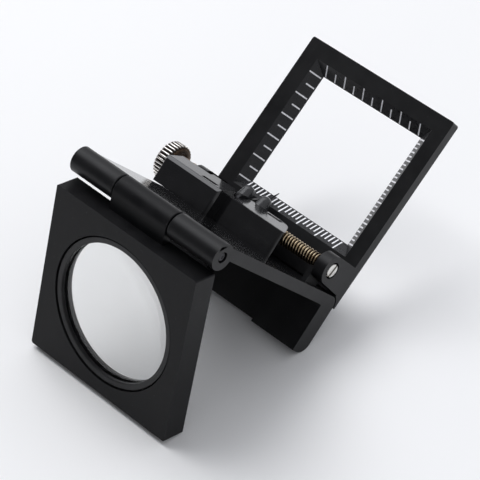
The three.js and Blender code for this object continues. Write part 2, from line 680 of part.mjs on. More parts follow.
/** Cells, contacts, board and switch inside the wing. */
function makeElectrics() {
  const group = new THREE.Group();
  const cellR = 2.4;
  const cellY = 3.1;
  const cellZ = 13.35;
  const cellThickness = 1.6;
  const cellPitch = 1.7;
  const firstCell = CELL_BAY_LEFT_X + 0.78;
  for (let i = 0; i < 3; i++) {
    const x0 = firstCell + i * cellPitch;
    group.add(piece(`button_cell_${i + 1}`, rod(x0, x0 + cellThickness, cellR, cellY, cellZ, 32), NICKEL));
  }
  const lastFace = firstCell + 2 * cellPitch + cellThickness;
  const spring = box(firstCell - 0.22, 1.4, 12.2, firstCell - 0.1, 4.8, 15.4);
  const plate = box(lastFace + 0.08, 1.4, 12.2, lastFace + 0.2, 4.8, 15.4);
  group.add(piece("battery_contact_spring", spring, NICKEL));
  group.add(piece("battery_contact_plate", plate, BRASS));
  group.add(piece("lamp_board", box(-16.6, 1.2, 12.3, -15.8, 4.9, 15.6), BOARD));
  group.add(piece("switch_body", box(-21.1, 1.2, 12.3, -19.25, 4.9, 15.7)
    .subtract(box(-22, 2.0, 12.6, -20.3, 4.0, 15.4)), BLACK_PLASTIC));
  return group;
}

/** The switch's slider, in the wing's left end. */
function makeSwitchSlider() {
  const group = new THREE.Group();
  const knobPart = box(WING_LEFT_X - 0.55, 2.35, 12.9, -20.6, 3.65, 14.3);
  group.add(piece("switch_slider", knobPart, BLACK_PLASTIC));
  return group;
}

// ---------- assembly ----------

/** How far the arm leans when the loupe stands on its leg tip and the lens frame's lower edge. */
function standingTilt() {
  const open = deg(LENS_OPEN_ANGLE);
  const reach = LENS_PLATE_START + LENS_PLATE_LENGTH;
  const edgeY = HINGE_Y_IN_ARM + reach * Math.cos(open) - LENS_PLATE_BACK * Math.sin(open);
  const edgeZ = HINGE_Z_IN_ARM + reach * Math.sin(open) + LENS_PLATE_BACK * Math.cos(open);
  const dy = edgeY - (-LEG_LENGTH + LEG_TIP_R);
  const dz = edgeZ - LEG_TIP_R;
  return Math.acos(-LEG_TIP_R / Math.hypot(dy, dz)) - Math.atan2(-dy, dz);
}

const arm = new THREE.Group();
arm.add(makeArm(), makeCarriage(), makeElectrics(), makeSwitchSlider());

const base = new THREE.Group();
base.position.set(0, SCREW_Y_IN_ARM, SCREW_Z_IN_ARM);
base.rotation.x = -deg(ARM_OPEN_ANGLE - 90);
const baseParts = new THREE.Group();
baseParts.position.set(0, -SCREW_Y_IN_BASE, -SCREW_Z_IN_BASE);
baseParts.add(makeBase(), makeScrewSet(), makePointer());
base.add(baseParts);
arm.add(base);

const lensFrame = new THREE.Group();
lensFrame.position.set(0, HINGE_Y_IN_ARM, HINGE_Z_IN_ARM);
lensFrame.rotation.x = deg(LENS_OPEN_ANGLE);
lensFrame.add(makeLensFrame());
arm.add(lensFrame);

arm.rotation.x = standingTilt();

const loupe = new THREE.Group();
loupe.add(arm);
loupe.updateMatrixWorld(true);
const bounds = new THREE.Box3().setFromObject(loupe, true);
arm.position.set(
  -(bounds.min.x + bounds.max.x) / 2,
  -(bounds.min.y + bounds.max.y) / 2,
  -bounds.min.z,
);

export default loupe;
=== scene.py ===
"""Folding viewing loupe: the looks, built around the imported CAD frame.

Lengths inside the local frames are millimetres and become metres in place().
  ARM   +Z along the arm from its outer corner, +Y out of its inner face, which lies at ARM_FACE_Y
  BASE  origin at the middle of the window's near edge, +Y along the plate, +Z on the ears' side
  LENS  origin on the lens hinge, +Y across the lens, +Z out of its back
X runs along every hinge axis in all three, and is 0 where the hinge joints have their points.
"""

import json
import math

import bmesh
import bpy
from mathutils import Euler, Matrix, Vector


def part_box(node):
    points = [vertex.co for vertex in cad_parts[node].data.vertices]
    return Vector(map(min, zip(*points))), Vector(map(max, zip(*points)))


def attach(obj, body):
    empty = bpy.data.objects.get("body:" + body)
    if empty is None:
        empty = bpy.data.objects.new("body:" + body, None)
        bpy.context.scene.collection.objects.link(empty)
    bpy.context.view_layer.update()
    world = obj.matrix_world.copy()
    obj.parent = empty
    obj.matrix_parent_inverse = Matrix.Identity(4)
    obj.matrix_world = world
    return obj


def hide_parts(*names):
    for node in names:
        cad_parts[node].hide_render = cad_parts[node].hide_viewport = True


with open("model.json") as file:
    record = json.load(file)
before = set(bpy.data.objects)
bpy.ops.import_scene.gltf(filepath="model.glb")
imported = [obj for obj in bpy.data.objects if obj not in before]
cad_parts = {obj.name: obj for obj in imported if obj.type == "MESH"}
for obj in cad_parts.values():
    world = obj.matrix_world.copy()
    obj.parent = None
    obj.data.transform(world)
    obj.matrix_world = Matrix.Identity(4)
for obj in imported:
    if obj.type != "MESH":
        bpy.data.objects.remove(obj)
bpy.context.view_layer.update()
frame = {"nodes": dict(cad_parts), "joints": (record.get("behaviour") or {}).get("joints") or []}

MM = 0.001
TAU = 2 * math.pi

# ---------- frames taken from the CAD ----------

joints = {j["name"]: j for j in frame["joints"]}
SCREW_AXIS = Vector(joints["base_hinge"]["pos_m"])
LENS_AXIS = Vector(joints["lens_hinge"]["pos_m"])
arm_up = Vector(joints["switch_slide"]["axis"])
ARM_LEAN = math.atan2(-arm_up.y, arm_up.z)
BASE_LEAN = ARM_LEAN - math.radians(4.04)       # the leaves' angles from the arm at rest
LENS_LEAN = ARM_LEAN + math.radians(214.64)

SCREW_IN_ARM = (4.07, 8.1)          # y, z of the screw's axis in the arm frame
SCREW_IN_BASE = (-6.05, 9.39)
HINGE_IN_ARM = (-2.77, 45.8)
ARM_FACE_Y = -0.4


def local_frame(pivot, lean, y, z):
    """Millimetre frame that leans about X and has the pivot at (y, z)."""
    turn = Matrix.Rotation(lean, 4, "X")
    return Matrix.Translation(pivot) @ turn @ Matrix.Scale(MM, 4) @ Matrix.Translation((0, -y, -z))


ARM = local_frame(SCREW_AXIS, ARM_LEAN, *SCREW_IN_ARM)
BASE = local_frame(SCREW_AXIS, BASE_LEAN, *SCREW_IN_BASE)
LENS = local_frame(LENS_AXIS, LENS_LEAN, 0, 0)


def span_x(node):
    """The CAD node's two ends along X, in local millimetres."""
    low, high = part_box(node)
    return (low.x - SCREW_AXIS.x) / MM, (high.x - SCREW_AXIS.x) / MM


# ---------- material helpers ----------


class Shader:
    """A principled material with short calls for the nodes that feed it."""

    def __init__(self, name, color, roughness, metallic=0.0, **sockets):
        self.material = bpy.data.materials.new(name)
        self.material.use_nodes = True
        self.tree = self.material.node_tree
        self.bsdf = self.tree.nodes["Principled BSDF"]
        self.bsdf.inputs["Base Color"].default_value = (*color, 1)
        self.bsdf.inputs["Roughness"].default_value = roughness
        self.bsdf.inputs["Metallic"].default_value = metallic
        for socket, value in sockets.items():
            self.bsdf.inputs[socket.replace("_", " ")].default_value = value
        self.place = self.node("ShaderNodeTexCoord").outputs["Object"]

    def node(self, kind, **settings):
        made = self.tree.nodes.new(kind)
        for key, value in settings.items():
            setattr(made, key, value)
        return made

    def link(self, a, b):
        self.tree.links.new(a, b)

    def noise(self, per_mm, detail=3.0, roughness=0.55, stretch=(1, 1, 1)):
        """Noise with about per_mm features in each millimetre."""
        mapping = self.node("ShaderNodeMapping")
        mapping.inputs["Scale"].default_value = [per_mm / MM * s for s in stretch]
        self.link(self.place, mapping.inputs["Vector"])
        noise = self.node("ShaderNodeTexNoise")
        noise.inputs["Scale"].default_value = 1.0
        noise.inputs["Detail"].default_value = detail
        noise.inputs["Roughness"].default_value = roughness
        self.link(mapping.outputs["Vector"], noise.inputs["Vector"])
        return noise.outputs["Fac"]

    def ranged(self, value, low, high, out_low, out_high):
        """Maps low..high of a value to out_low..out_high, clamped."""
        made = self.node("ShaderNodeMapRange")
        for index, number in enumerate((low, high, out_low, out_high)):
            made.inputs[index + 1].default_value = number
        self.link(value, made.inputs[0])
        return made.outputs[0]

    def combined(self, operation, a, b):
        """Combines two nodes' outputs, such as with MULTIPLY or ADD."""
        made = self.node("ShaderNodeMath", operation=operation)
        self.link(a, made.inputs[0])
        self.link(b, made.inputs[1])
        return made.outputs[0]

    def mixed(self, factor, color_a, color_b):
        """Mixes two colours; each is a colour or another node's output."""
        made = self.node("ShaderNodeMix", data_type="RGBA")
        self.link(factor, made.inputs[0])
        for socket, color in ((6, color_a), (7, color_b)):
            if isinstance(color, tuple):
                made.inputs[socket].default_value = (*color, 1)
            else:
                self.link(color, made.inputs[socket])
        return made.outputs[2]

    def color(self, output):
        self.link(output, self.bsdf.inputs["Base Color"])

    def two_tone(self, value, low, high, color_a, color_b):
        """Colours the surface from color_a at value low to color_b at value high."""
        self.color(self.mixed(self.ranged(value, low, high, 0, 1), color_a, color_b))

    def roughness(self, output):
        self.link(output, self.bsdf.inputs["Roughness"])

    def bump(self, height, strength, distance_mm):
        """Adds a bump on top of the ones already there."""
        made = self.node("ShaderNodeBump")
        made.inputs["Strength"].default_value = strength
        made.inputs["Distance"].default_value = distance_mm * MM
        self.link(height, made.inputs["Height"])
        normal = self.bsdf.inputs["Normal"]
        if normal.is_linked:
            self.link(normal.links[0].from_socket, made.inputs["Normal"])
        self.link(made.outputs["Normal"], normal)

    def stored(self, name):
        """A number stored in the mesh: edge on rounded edges, valley in the low places."""
        return self.node("ShaderNodeAttribute", attribute_name=name).outputs["Fac"]


def black_paint(name, sheen):
    """Satin black stove paint: fine texture, faint specks, and rounded edges painted a little lighter,
    partly as rubbed wear and partly as a painted highlight.
    """
    s = Shader(name, (0.006, 0.006, 0.0068), 0.4, Specular_IOR_Level=sheen)
    blotch = s.noise(0.22, 2.0)
    tone = s.mixed(
        s.ranged(blotch, 0.35, 0.65, 0, 1), (0.0048, 0.0048, 0.0055), (0.0075, 0.0075, 0.0083)
    )
    speck = s.ranged(s.noise(2.6, 1.0, 0.4), 0.72, 0.77, 0, 0.35)
    dusty = s.mixed(speck, tone, (0.045, 0.045, 0.048))
    # painted highlight: the rounded edges go lighter in patches, partly for rubbed wear and partly for
    # the thin highlights the edges catch
    wear_and_highlight_mask = s.ranged(s.noise(1.4, 3.0), 0.42, 0.68, 0.05, 0.75)
    rubbed_and_highlit_edges = s.combined("MULTIPLY", s.stored("edge"), wear_and_highlight_mask)
    s.color(s.mixed(rubbed_and_highlit_edges, dusty, (0.03, 0.03, 0.032)))
    s.roughness(s.ranged(blotch, 0.3, 0.7, 0.34, 0.44))
    s.bump(s.noise(7.0, 3.0, 0.6), 0.1, 0.012)
    s.bump(s.noise(1.2, 2.0), 0.08, 0.015)
    return s.material


def polished_paint():
    """The same black, rubbed almost to a mirror by the sliding carriage."""
    s = Shader("polished_paint", (0.004, 0.004, 0.0046), 0.08, Specular_IOR_Level=0.45)
    s.roughness(s.ranged(s.noise(0.8, 3.0, 0.6, (0.1, 1, 1)), 0.35, 0.7, 0.1, 0.18))
    s.bump(s.noise(0.7, 2.0), 0.02, 0.01)
    return s.material


def scale_black():
    """Smooth blackened face that carries the scale marks."""
    s = Shader("scale_black", (0.008, 0.008, 0.0095), 0.3, Specular_IOR_Level=0.4)
    s.two_tone(s.noise(0.6, 3.0), 0.35, 0.65, (0.0065, 0.0065, 0.008), (0.0105, 0.0105, 0.012))
    s.roughness(s.ranged(s.noise(1.5, 3.0), 0.3, 0.7, 0.24, 0.36))
    s.bump(s.noise(9.0), 0.08, 0.01)
    return s.material


def satin_black():
    """Plain turned or moulded black, a little rougher than the paint."""
    s = Shader("satin_black", (0.008, 0.008, 0.009), 0.45, Specular_IOR_Level=0.35)
    s.two_tone(s.noise(0.5, 2.0), 0.3, 0.7, (0.006, 0.006, 0.0068), (0.011, 0.011, 0.012))
    s.roughness(s.ranged(s.noise(1.0), 0.3, 0.7, 0.38, 0.52))
    s.bump(s.noise(9.0), 0.15, 0.015)
    return s.material


def gloss_black():
    """Polished black moulding: faint flow marks in the gloss and hairline scuffs."""
    s = Shader("gloss_black", (0.004, 0.004, 0.0048), 0.12, Specular_IOR_Level=0.65)
    s.two_tone(s.noise(0.3), 0.35, 0.65, (0.0035, 0.0035, 0.0042), (0.006, 0.006, 0.007))
    scuff = s.ranged(s.noise(2.4, 4.0, 0.7, (0.15, 1, 1)), 0.58, 0.72, 0, 0.16)
    flow = s.ranged(s.noise(0.4, 2.0), 0.3, 0.7, 0.09, 0.15)
    s.roughness(s.combined("ADD", flow, scuff))
    s.bump(s.noise(0.45, 2.0), 0.2, 0.03)
    s.bump(s.noise(1.5, 2.0), 0.04, 0.01)
    return s.material


def metal(name, bright, dull, rough_low, rough_high, per_mm=1.0):
    """Bare or plated metal: brighter and duller patches and a fine grain."""
    s = Shader(name, bright, rough_low, 1.0)
    s.two_tone(s.noise(0.5 * per_mm, 3.0), 0.35, 0.68, bright, dull)
    s.roughness(s.ranged(s.noise(1.6 * per_mm, 3.0), 0.3, 0.7, rough_low, rough_high))
    s.bump(s.noise(9.0, 2.0, 0.5), 0.12, 0.012)
    return s.material


def metal_with_shaded_valleys(name, bright, dull, valley_dirt_and_shade, rough_low, rough_high):
    """Metal with clean crests and duller valleys painted dark: painted shade in the hollows, with some
    dirt.
    """
    s = Shader(name, bright, rough_low, 1.0)
    patch = s.ranged(s.noise(1.2, 3.0), 0.35, 0.68, 0, 1)
    valley = s.stored("valley")
    uneven = s.combined("MULTIPLY", valley, s.ranged(s.noise(2.0, 2.0), 0.3, 0.7, 0.8, 1.15))
    # painted shade: the deeper a point lies in a valley, the nearer its colour goes to the dark valley
    # colour
    s.two_tone(uneven, 0.15, 0.65, s.mixed(patch, bright, dull), valley_dirt_and_shade)
    s.roughness(s.ranged(valley, 0.2, 0.9, rough_low, rough_high))
    s.bump(s.noise(9.0, 2.0, 0.5), 0.1, 0.012)
    return s.material


def lens_glass():
    """Clear polished glass with the faintest unevenness of a pressed lens and a few dust specks."""
    s = Shader("lens_glass", (0.965, 0.972, 0.968), 0.0, Transmission_Weight=1.0, IOR=1.5)
    s.roughness(s.ranged(s.noise(1.7, 2.0), 0.7, 0.78, 0.0, 0.06))
    s.bump(s.noise(0.11, 2.0), 0.03, 0.02)
    return s.material


def lamp_epoxy():
    """Clear cast epoxy, painted dark and only partly see-through: painted shade for the dark parts seen
    through the lamp.
    """
    s = Shader("lamp_epoxy", (0.05, 0.051, 0.055), 0.01, Transmission_Weight=0.35, IOR=1.45)
    s.roughness(s.ranged(s.noise(0.9, 2.0), 0.3, 0.7, 0.0, 0.03))
    s.bump(s.noise(0.8, 2.0), 0.02, 0.01)
    return s.material


def mark_white():
    """Filled scale marks: white paint, slightly uneven."""
    s = Shader("mark_white", (0.85, 0.85, 0.88), 0.55)
    s.two_tone(s.noise(3.0), 0.35, 0.65, (0.74, 0.74, 0.78), (0.92, 0.92, 0.95))
    s.bump(s.noise(12.0), 0.2, 0.01)
    return s.material


def board_green():
    """Solder mask over fibre, with faint tracks."""
    s = Shader("board_green", (0.03, 0.13, 0.06), 0.4)
    tracks = s.node("ShaderNodeTexWave", bands_direction="Z")
    tracks.inputs["Scale"].default_value = 1.4 / MM
    s.link(s.place, tracks.inputs["Vector"])
    s.two_tone(tracks.outputs["Fac"], 0.4, 0.6, (0.022, 0.11, 0.05), (0.04, 0.16, 0.075))
    s.bump(s.noise(8.0), 0.1, 0.01)
    return s.material


def floor_white():
    """Plain pale floor."""
    s = Shader("floor_white", (0.86, 0.86, 0.868), 0.6, Specular_IOR_Level=0.2)
    s.two_tone(s.noise(0.01, 2.0), 0.3, 0.7, (0.855, 0.855, 0.865), (0.865, 0.865, 0.872))
    return s.material


BLACK_PAINT = black_paint("black_paint", 0.27)
DULL_PAINT = black_paint("dull_black_paint", 0.15)
SATIN_BLACK = satin_black()
GLOSS_BLACK = gloss_black()
POLISHED_PAINT = polished_paint()
SCALE_BLACK = scale_black()
STEEL = metal("steel", (0.58, 0.57, 0.55), (0.42, 0.41, 0.4), 0.24, 0.4)
NICKEL = metal("bright_nickel", (0.8, 0.79, 0.76), (0.6, 0.58, 0.55), 0.14, 0.3, 1.4)
# The thread's roots and the knob's flutes get painted shade, with some dirt, in their valleys.
THREAD_BRASS = metal_with_shaded_valleys(
    "thread_brass", (0.62, 0.51, 0.35), (0.4, 0.29, 0.17), (0.02, 0.012, 0.006), 0.1, 0.3
)
KNURL_NICKEL = metal_with_shaded_valleys(
    "knurl_nickel", (0.9, 0.87, 0.83), (0.74, 0.7, 0.66), (0.035, 0.028, 0.022), 0.16, 0.5
)
# painted shade: a dark brown for the knob's nickel back face, standing for the shade and dark
# reflections between the knob and the ear
KNOB_BACK_SHADE = metal("knob_back_shade", (0.11, 0.075, 0.05), (0.05, 0.035, 0.025), 0.3, 0.45)
BRASS = metal("bare_brass", (0.6, 0.46, 0.28), (0.4, 0.28, 0.15), 0.22, 0.36, 1.5)
COLLAR_BRASS = metal("collar_brass", (0.38, 0.25, 0.14), (0.2, 0.12, 0.06), 0.3, 0.45)
SPRING_STEEL = metal("spring_steel", (0.55, 0.55, 0.55), (0.4, 0.4, 0.42), 0.22, 0.38)
DARK_STEEL = metal("dark_steel", (0.06, 0.06, 0.064), (0.025, 0.025, 0.027), 0.3, 0.45)
CELL_STEEL = metal("cell_steel", (0.7, 0.7, 0.69), (0.55, 0.55, 0.55), 0.18, 0.3)
CONTACT_BRASS = metal("contact_brass", (0.7, 0.52, 0.26), (0.5, 0.36, 0.17), 0.25, 0.4)
LENS_GLASS = lens_glass()
LAMP_EPOXY = lamp_epoxy()
MARK_WHITE = mark_white()
BOARD_GREEN = board_green()
LAMP_METAL = metal("lamp_metal", (0.3, 0.3, 0.31), (0.16, 0.16, 0.17), 0.3, 0.45)

# ---------- mesh helpers (local millimetres) ----------

SMOOTH = 35.0               # edges sharper than this many degrees are shaded sharp
PLATE_SMOOTH = 12.0         # keeps a leaf's flat faces flat right up to their rounded edges
ON_AXIS = 1e-6


def place(bm, name, where, material, body, replaces=(), smooth=SMOOTH, second=None):
    """Turns a local mesh into a piece that rides on a body; second goes on the faces with index 1."""
    bmesh.ops.recalc_face_normals(bm, faces=bm.faces)
    mesh = bpy.data.meshes.new(name)
    bm.to_mesh(mesh)
    bm.free()
    mesh.transform(where)
    mesh.polygons.foreach_set("use_smooth", [True] * len(mesh.polygons))
    mesh.set_sharp_from_angle(angle=math.radians(smooth))
    mesh.materials.append(material)
    if second is not None:
        mesh.materials.append(second)
    obj = bpy.data.objects.new(name, mesh)
    bpy.context.scene.collection.objects.link(obj)
    weighted = obj.modifiers.new("weighted", "WEIGHTED_NORMAL")
    weighted.keep_sharp = True
    weighted.weight = 80
    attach(obj, body)
    if replaces:
        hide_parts(*replaces)
    return obj


def join_rings(bm, rings, closed=False):
    """Faces between neighbouring rings; a ring of one vertex makes a fan."""
    pairs = list(zip(rings, rings[1:]))
    if closed:
        pairs.append((rings[-1], rings[0]))
    for a, b in pairs:
        count = max(len(a), len(b))
        for k in range(count):
            n = (k + 1) % count
            if len(a) == 1:
                bm.faces.new((a[0], b[n], b[k]))
            elif len(b) == 1:
                bm.faces.new((a[k], a[n], b[0]))
            else:
                bm.faces.new((a[k], a[n], b[n], b[k]))


def turned(profile, y=0.0, z=0.0, segments=64, closed=False, shift=None):
    """A mesh turned about X at (y, z), from [x, radius] points.

    The points run from axis to axis, or make a closed loop, which turns into a ring.
    shift(x, radius, turn) gives a point's own x and radius, with turn going from 0 to 1 about X.
    """
    bm = bmesh.new()
    rings = []
    for x, radius in profile:
        if radius < ON_AXIS:
            rings.append([bm.verts.new((x, y, z))])
            continue
        ring = []
        for k in range(segments):
            turn = k / segments
            px, r = shift(x, radius, turn) if shift else (x, radius)
            ring.append(bm.verts.new((px, y + r * math.cos(TAU * turn), z + r * math.sin(TAU * turn))))
        rings.append(ring)
    join_rings(bm, rings, closed)
    return bm


def between_loops(bm, low, high):
    """Closes a solid between two loops of as many points."""
    bm.faces.new(low)
    bm.faces.new(high)
    join_rings(bm, [low, high])
    bmesh.ops.recalc_face_normals(bm, faces=bm.faces)


def prism(points, x0, x1):
    """A (y, z) outline extruded along X."""
    bm = bmesh.new()
    low, high = [[bm.verts.new((x, y, z)) for y, z in points] for x in (x0, x1)]
    between_loops(bm, low, high)
    return bm


def block(x0, y0, z0, x1, y1, z1):
    return prism([(y0, z0), (y1, z0), (y1, z1), (y0, z1)], x0, x1)


def joined(*parts):
    """One mesh from several; the parts are freed."""
    whole = bmesh.new()
    for part in parts:
        mesh = bpy.data.meshes.new("part")
        part.to_mesh(mesh)
        part.free()
        whole.from_mesh(mesh)
        bpy.data.meshes.remove(mesh)
    return whole


def edge_middle(edge):
    return (edge.verts[0].co + edge.verts[1].co) / 2


def round_edges(bm, width, segments, min_angle=SMOOTH, wanted=None):
    """Rounds the edges sharper than min_angle and marks the new faces for the edge attribute."""
    layer = bm.faces.layers.float.get("edge") or bm.faces.layers.float.new("edge")
    chosen = []
    for edge in bm.edges:
        if len(edge.link_faces) != 2 or edge.calc_face_angle(0) < math.radians(min_angle):
            continue
        if wanted is not None and not wanted(edge):
            continue
        chosen.append(edge)
    made = bmesh.ops.bevel(
        bm, geom=chosen, offset=width, offset_type="OFFSET", segments=segments, profile=0.5,
        affect="EDGES", clamp_overlap=True, harden_normals=False,
    )
    for face in made["faces"]:
        face[layer] = 1.0


def clean(bm):
    """Welds a mesh and makes its flat faces whole."""
    bmesh.ops.remove_doubles(bm, verts=bm.verts, dist=0.004)
    bmesh.ops.dissolve_degenerate(bm, dist=0.002, edges=bm.edges)
    bmesh.ops.dissolve_limit(bm, angle_limit=math.radians(0.6), verts=bm.verts, edges=bm.edges)
    bmesh.ops.recalc_face_normals(bm, faces=bm.faces)


def cad_copy(node, where):
    """The CAD node's mesh as one clean local mesh, with its flat faces whole again."""
    bm = bmesh.new()
    mesh = frame["nodes"][node].data.copy()
    mesh.transform(where.inverted())
    bm.from_mesh(mesh)
    bpy.data.meshes.remove(mesh)
    clean(bm)
    return bm


def paint_valleys(bm, y, z, radius, depth):
    """Stores each vertex's share of the way down from the radius, which the metal materials read to
    paint shade into the valleys.
    """
    layer = bm.verts.layers.float.new("valley")
    for vert in bm.verts:
        vert[layer] = (radius - math.hypot(vert.co.y - y, vert.co.z - z)) / depth


def paint_faces(bm, is_second):
    """Gives the faces that pass the test the piece's second material."""
    bm.normal_update()
    for face in bm.faces:
        if is_second(face, face.calc_center_median()):
            face.material_index = 1


def carve(bm, tools):
    """Cuts the tools from a local mesh. The mesh and the tools are freed."""
    def temporary(source, name):
        mesh = bpy.data.meshes.new(name)
        source.to_mesh(mesh)
        source.free()
        obj = bpy.data.objects.new(name, mesh)
        bpy.context.scene.collection.objects.link(obj)
        return obj

    target = temporary(bm, "carve_target")
    helpers = [temporary(tool, "carve_tool") for tool in tools]
    for helper in helpers:
        modifier = target.modifiers.new("cut", "BOOLEAN")
        modifier.operation = "DIFFERENCE"
        modifier.solver = "EXACT"
        modifier.object = helper
    bpy.context.view_layer.update()
    evaluated = target.evaluated_get(bpy.context.evaluated_depsgraph_get())
    result = bmesh.new()
    result.from_mesh(evaluated.to_mesh())
    evaluated.to_mesh_clear()
    for obj in [target, *helpers]:
        mesh = obj.data
        bpy.data.objects.remove(obj)
        bpy.data.meshes.remove(mesh)
    clean(result)
    return result


# How the edges of the arm, of the two leaves and of the barrels' rims are rounded.
ARM_EDGE, LEAF_EDGE, RIM_EDGE = (
    {"width": width, "segments": 3, "min_angle": 32.0} for width in (0.2, 0.16, 0.34)
)

# ---------- window leaf ----------

BASE_TOP_Z = 2.43
WINDOW = (-13.1, 13.6, 0.0, 25.7)       # x0, x1, y0, y1 of the knife edge
BEVEL = 2.3
KNIFE_Z = 0.25


def near_window(point, margin):
    x0, x1, y0, y1 = WINDOW
    return x0 - margin < point.x < x1 + margin and y0 - margin < point.y < y1 + margin


def is_scale_face(face, middle):
    """True for the four bevels that carry the marks."""
    slanted = KNIFE_Z < middle.z < BASE_TOP_Z and 0.5 < face.normal.z < 0.9
    return slanted and near_window(middle, 1.2 * BEVEL)


base = cad_copy("base_frame", BASE)
round_edges(base, **LEAF_EDGE, wanted=lambda edge: not near_window(edge_middle(edge), 0.3))
paint_faces(base, is_scale_face)
place(
    base, "window_leaf", BASE, BLACK_PAINT, "base", ["base_frame"],
    smooth=PLATE_SMOOTH, second=SCALE_BLACK,
)

MARK_START, MARK_END = 0.06, 0.96       # shares of a bevel that a long mark runs between
SHORT_MARK = 0.7                        # a short mark's share of a long one
MARK_PROUD, MARK_DEPTH = 0.012, 0.1


def beside_window(side, along, out):
    """The x and y of a point that lies some way out from one of the window's edges."""
    x0, x1, y0, y1 = WINDOW
    return {
        "left": (x0 - out, along),
        "right": (x1 + out, along),
        "near": (along, y0 - out),
        "far": (along, y1 + out),
    }[side]


def bevel_mark(side, along, share, width):
    """One filled mark on a scale face, from the knife edge outwards."""
    rise = BASE_TOP_Z - KNIFE_Z
    slope = math.hypot(rise, BEVEL)
    start, end = MARK_START, MARK_START + (MARK_END - MARK_START) * share
    corners = [(start, -MARK_DEPTH), (end, -MARK_DEPTH), (end, MARK_PROUD), (start, MARK_PROUD)]
    section = [
        (t * BEVEL - lift * rise / slope, KNIFE_Z + t * rise + lift * BEVEL / slope)
        for t, lift in corners
    ]
    bm = bmesh.new()
    low, high = [
        [bm.verts.new((*beside_window(side, flank, out), up)) for out, up in section]
        for flank in (along - width / 2, along + width / 2)
    ]
    between_loops(bm, low, high)
    return bm


def scale_marks(rows, step, count, long_every, width):
    """The marks of two scales; each row is its side and its first mark's place and direction."""
    marks = []
    for k in range(count):
        share = 1.0 if k % long_every == 0 else SHORT_MARK
        for side, first, way in rows:
            marks.append(bevel_mark(side, first + way * step * k, share, width))
    return joined(*marks)


inch_rows = [("far", -12.49, 1), ("left", 25.12, -1)]
inch_marks = scale_marks(inch_rows, step=2.54, count=11, long_every=2, width=0.3)
place(inch_marks, "inch_scale_marks", BASE, MARK_WHITE, "base")

millimetre_rows = [("near", -12.68, 1), ("right", 25.39, -1)]
millimetre_marks = scale_marks(millimetre_rows, step=1.0, count=26, long_every=5, width=0.32)
place(millimetre_marks, "millimetre_scale_marks", BASE, MARK_WHITE, "base")

# ---------- arm ----------

BARREL_R = 2.75
KNUCKLE_GAPS = (-7.75, 6.95)        # middles of the gaps on either side of the lens leaf's knuckle


def knuckle_rims(pivot_y, pivot_z):
    """A test for the round edges beside the two gaps in a barrel about the pivot."""
    def is_rim(edge):
        middle = edge_middle(edge)
        across = abs(edge.verts[0].co.x - edge.verts[1].co.x) < 0.01
        beside_gap = any(abs(middle.x - x) < 0.25 for x in KNUCKLE_GAPS)
        from_skin = abs(math.hypot(middle.y - pivot_y, middle.z - pivot_z) - BARREL_R)
        return across and beside_gap and from_skin < 0.1
    return is_rim


def is_inner_face(face, middle):
    """True for the arm's face that the carriage slides on."""
    return face.normal.y > 0.99 and abs(middle.y - ARM_FACE_Y) < 0.02


arm = cad_copy("arm", ARM)
round_edges(arm, **RIM_EDGE, wanted=knuckle_rims(*HINGE_IN_ARM))
round_edges(arm, **ARM_EDGE)
paint_faces(arm, is_inner_face)
place(
    arm, "arm_body", ARM, BLACK_PAINT, "arm", ["arm"],
    smooth=PLATE_SMOOTH, second=POLISHED_PAINT,
)

PIN_R = 0.9


def domed_pin(x0, x1, radius):
    """Profile of a pin with two slightly domed, dimpled ends."""
    end = [(0.22, 0.0), (0.2, 0.25), (0.02, 0.42), (0.0, 0.55), (0.1, 0.9), (0.25, 1.0)]
    half = [(depth, radius * share) for depth, share in end]
    return [(x0 + d, r) for d, r in half] + [(x1 - d, r) for d, r in reversed(half)]


pin = turned(domed_pin(*span_x("lens_hinge_pin"), PIN_R), *HINGE_IN_ARM, segments=48)
place(pin, "hinge_pin", ARM, DARK_STEEL, "arm", ["lens_hinge_pin"])

# ---------- lens leaf ----------

lens_leaf = cad_copy("lens_frame", LENS)
round_edges(lens_leaf, **RIM_EDGE, wanted=knuckle_rims(0.0, 0.0))
round_edges(lens_leaf, **LEAF_EDGE)
place(
    lens_leaf, "lens_leaf", LENS, DULL_PAINT, "lens", ["lens_frame"],
    smooth=PLATE_SMOOTH,
)

LENS_CENTRE = (0.3, 22.25, 0.0)
X_TO_Z = Matrix(((0, 1, 0, 0), (0, 0, 1, 0), (1, 0, 0, 0), (0, 0, 0, 1)))
LENS_BORE = LENS @ Matrix.Translation(LENS_CENTRE) @ X_TO_Z       # +X along the lens's own axis

LENS_R = 15.2
FACE_R = 15.05                          # where a face's curve starts, inside a small chamfer
FRONT_RIM, BACK_RIM = -4.54, -1.69      # along the axis, at FACE_R
FRONT_EDGE, BACK_EDGE = -4.4, -1.84     # and at LENS_R


def dome(rim_x, sagitta, radius, steps=20):
    """Points of one lens face, from its rim to the axis."""
    sphere = (radius ** 2 + sagitta ** 2) / (2 * abs(sagitta))
    points = []
    for i in range(steps + 1):
        r = radius * (1 - i / steps)
        rise = math.sqrt(sphere ** 2 - r ** 2) - math.sqrt(sphere ** 2 - radius ** 2)
        points.append((rim_x + math.copysign(rise, sagitta), r))
    return points


glass_profile = [
    *reversed(dome(FRONT_RIM, -0.95, FACE_R)),
    (FRONT_EDGE, LENS_R), (BACK_EDGE, LENS_R),
    *dome(BACK_RIM, 0.8, FACE_R),
]
glass = turned(glass_profile, segments=96)
place(glass, "lens_glass", LENS_BORE, LENS_GLASS, "lens", ["lens"])

ring_profile = [
    (-4.7, 15.3), (-5.4, 15.3), (-5.5, 15.2), (-5.5, 14.3), (-5.4, 14.12), (-5.2, 14.05), (-4.7, 14.05),
]
ring = turned(ring_profile, segments=96, closed=True)
place(ring, "lens_ring", LENS_BORE, SATIN_BLACK, "lens", ["lens_retaining_ring"])

# ---------- lead screw and knob ----------

